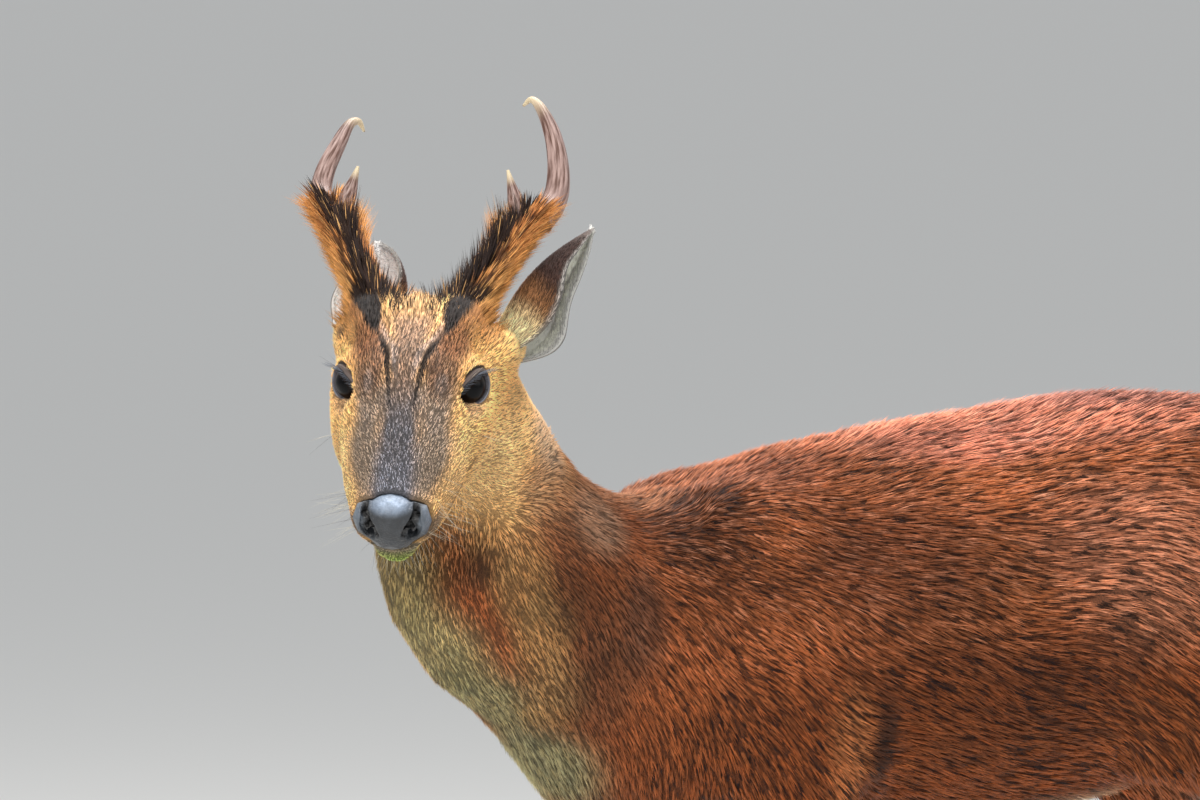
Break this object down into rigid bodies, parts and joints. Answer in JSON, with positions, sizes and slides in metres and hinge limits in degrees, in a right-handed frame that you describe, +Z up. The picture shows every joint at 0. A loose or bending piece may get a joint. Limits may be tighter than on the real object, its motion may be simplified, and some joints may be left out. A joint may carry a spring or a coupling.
{
  "type": "muntjac",
  "caption": "Life-size still model of a standing muntjac buck with its head turned, hair-covered pedicles, short hooked antlers and a chestnut coat.",
  "frame": {"origin": "middle of the bounding box's base, on the floor between the four feet", "axes": "+X from the chest to the tail, +Y to the animal's right side, +Z up"},
  "size_m": [0.8432, 0.2654, 0.7432],
  "materials": {
    "coat": "short dense chestnut hair, matte with a soft sheen",
    "nose_leather": "moist, finely pebbled",
    "eye": "polished, near black",
    "antler": "streaked, worn smooth at the tips",
    "horn": "satin, faintly ringed"
  },
  "bodies": {
    "root": {"antler_left": "antler", "antler_right": "antler", "brow_tine_left": "antler", "brow_tine_right": "antler", "dewclaw_fore_left_inner": "horn", "dewclaw_fore_left_outer": "horn", "dewclaw_fore_right_inner": "horn", "dewclaw_fore_right_outer": "horn", "dewclaw_hind_left_inner": "horn", "dewclaw_hind_left_outer": "horn", "dewclaw_hind_right_inner": "horn", "dewclaw_hind_right_outer": "horn", "ear_left": "coat", "ear_right": "coat", "eye_left": "eye", "eye_right": "eye", "foreleg_left": "coat", "foreleg_right": "coat", "head": "coat", "hindleg_left": "coat", "hindleg_right": "coat", "hoof_fore_left_inner": "horn", "hoof_fore_left_outer": "horn", "hoof_fore_right_inner": "horn", "hoof_fore_right_outer": "horn", "hoof_hind_left_inner": "horn", "hoof_hind_left_outer": "horn", "hoof_hind_right_inner": "horn", "hoof_hind_right_outer": "horn", "neck": "coat", "nose_pad": "nose_leather", "pedicle_left": "coat", "pedicle_right": "coat", "tail": "coat", "torso": "coat"}
  },
  "joints": []
}
